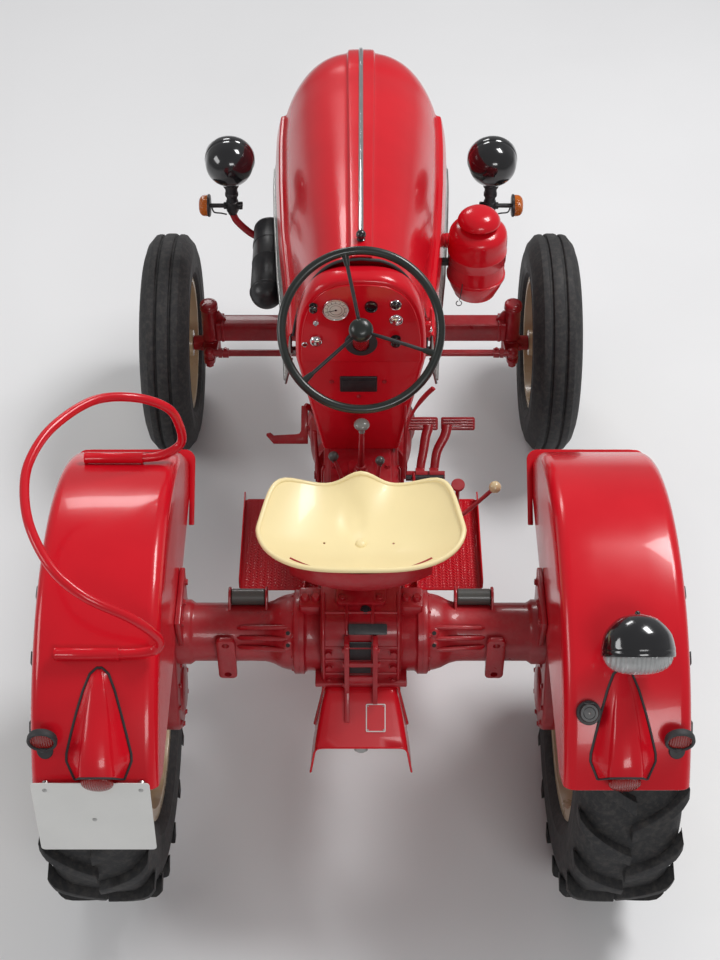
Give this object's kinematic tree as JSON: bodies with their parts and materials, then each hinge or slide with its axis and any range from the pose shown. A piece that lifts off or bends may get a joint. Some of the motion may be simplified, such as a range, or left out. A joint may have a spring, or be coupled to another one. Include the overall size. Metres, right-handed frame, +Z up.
{
  "type": "vintage farm tractor",
  "caption": "Small vintage farm tractor with an egg-shaped tilting bonnet, boxed rear fenders, steered front wheels and an open driver's seat.",
  "frame": {"origin": "on the ground, under the middle of the tractor's box", "axes": "+Y forwards, +X to the driver's right, +Z up"},
  "size_m": [1.5001, 2.5773, 1.4108],
  "materials": {
    "red_paint": "high gloss",
    "chassis_paint": "semi gloss over cast and welded steel",
    "cast_engine": "grey paint over castings",
    "pale_grille": "satin",
    "black_plastic": "satin",
    "black_paint": "gloss",
    "chrome": "polished",
    "bare_steel": "machined",
    "cream_paint": "gloss",
    "plate_white": "satin",
    "wheel_plastic": "satin",
    "red_lens": "clear moulded",
    "amber_lens": "ribbed",
    "rubber": "matt",
    "tyre": "matt",
    "rim_paint": "satin"
  },
  "bodies": {
    "chassis": {"engine": "cast_engine", "gearbox": "chassis_paint", "rear_housing": "chassis_paint", "axle_left": "chassis_paint", "axle_right": "chassis_paint", "front_support": "chassis_paint", "front_axle": "chassis_paint", "side_grilles": "pale_grille", "cowl": "red_paint", "instrument_panel": "red_paint", "dash_controls": "black_plastic", "steering_column": "red_paint", "gear_levers": "red_paint", "pedals": "red_paint", "footplate_left": "red_paint", "footplate_right": "red_paint", "seat": "cream_paint", "seat_bracket": "red_paint", "fender_left": "red_paint", "fender_right": "red_paint", "handrail": "chassis_paint", "tail_lamps": "red_paint", "tail_lenses": "red_lens", "fender_fittings": "black_plastic", "work_lamp": "black_paint", "number_plate": "plate_white", "muffler": "black_paint", "air_cleaner": "red_paint", "headlamps": "black_paint", "lamp_arms": "chassis_paint", "indicators": "amber_lens", "pto_guard": "red_paint", "pto_shaft": "bare_steel", "hitch_frame": "chassis_paint", "axle_buffers": "rubber"},
    "hood": {"hood": "red_paint", "hood_trim": "chrome"},
    "knuckle_right": {"knuckle_right": "chassis_paint"},
    "knuckle_left": {"knuckle_left": "chassis_paint"},
    "tie_rod": {"tie_rod": "chassis_paint"},
    "steering_wheel": {"steering_wheel": "wheel_plastic"},
    "wheel_front_right": {"front_rim_right": "rim_paint", "front_tyre_right": "tyre"},
    "wheel_front_left": {"front_rim_left": "rim_paint", "front_tyre_left": "tyre"},
    "wheel_rear_right": {"rear_rim_right": "rim_paint", "rear_tyre_right": "tyre"},
    "wheel_rear_left": {"rear_rim_left": "rim_paint", "rear_tyre_left": "tyre"}
  },
  "joints": [
    {"name": "hood_tilt", "type": "hinge", "parent": "chassis", "child": "hood", "pos_m": [0, 1.19, 0.782], "axis": [-1, 0, 0], "range_deg": [0, 55]},
    {"name": "steer_right", "type": "hinge", "parent": "chassis", "child": "knuckle_right", "pos_m": [0.483, 0.775, 0.35], "axis": [0, 0, 1], "range_deg": [-35, 35]},
    {"name": "steer_left", "type": "hinge", "parent": "chassis", "child": "knuckle_left", "pos_m": [-0.483, 0.775, 0.35], "axis": [0, 0, 1], "range_deg": [-35, 35]},
    {"name": "tie_rod_swivel", "type": "hinge", "parent": "knuckle_right", "child": "tie_rod", "pos_m": [0.483, 0.679, 0.373], "axis": [0, 0, 1], "range_deg": [-35, 35]},
    {"name": "steering_turn", "type": "hinge", "parent": "chassis", "child": "steering_wheel", "pos_m": [0, -0.22, 1.27], "axis": [0, -0.6691, 0.7431], "range_deg": [-490, 490]},
    {"name": "front_wheel_right", "type": "hinge", "parent": "knuckle_right", "child": "wheel_front_right", "pos_m": [0.605, 0.775, 0.35], "axis": [1, 0, 0], "continuous": true},
    {"name": "front_wheel_left", "type": "hinge", "parent": "knuckle_left", "child": "wheel_front_left", "pos_m": [-0.605, 0.775, 0.35], "axis": [1, 0, 0], "continuous": true},
    {"name": "rear_wheel_right", "type": "hinge", "parent": "chassis", "child": "wheel_rear_right", "pos_m": [0.62, -0.745, 0.525], "axis": [1, 0, 0], "continuous": true},
    {"name": "rear_wheel_left", "type": "hinge", "parent": "chassis", "child": "wheel_rear_left", "pos_m": [-0.62, -0.745, 0.525], "axis": [1, 0, 0], "continuous": true}
  ],
  "couplings": [
    {"joint": "steer_left", "follows": "steer_right", "ratio": 1},
    {"joint": "tie_rod_swivel", "follows": "steer_right", "ratio": -1},
    {"joint": "steering_turn", "follows": "steer_right", "ratio": 14}
  ]
}
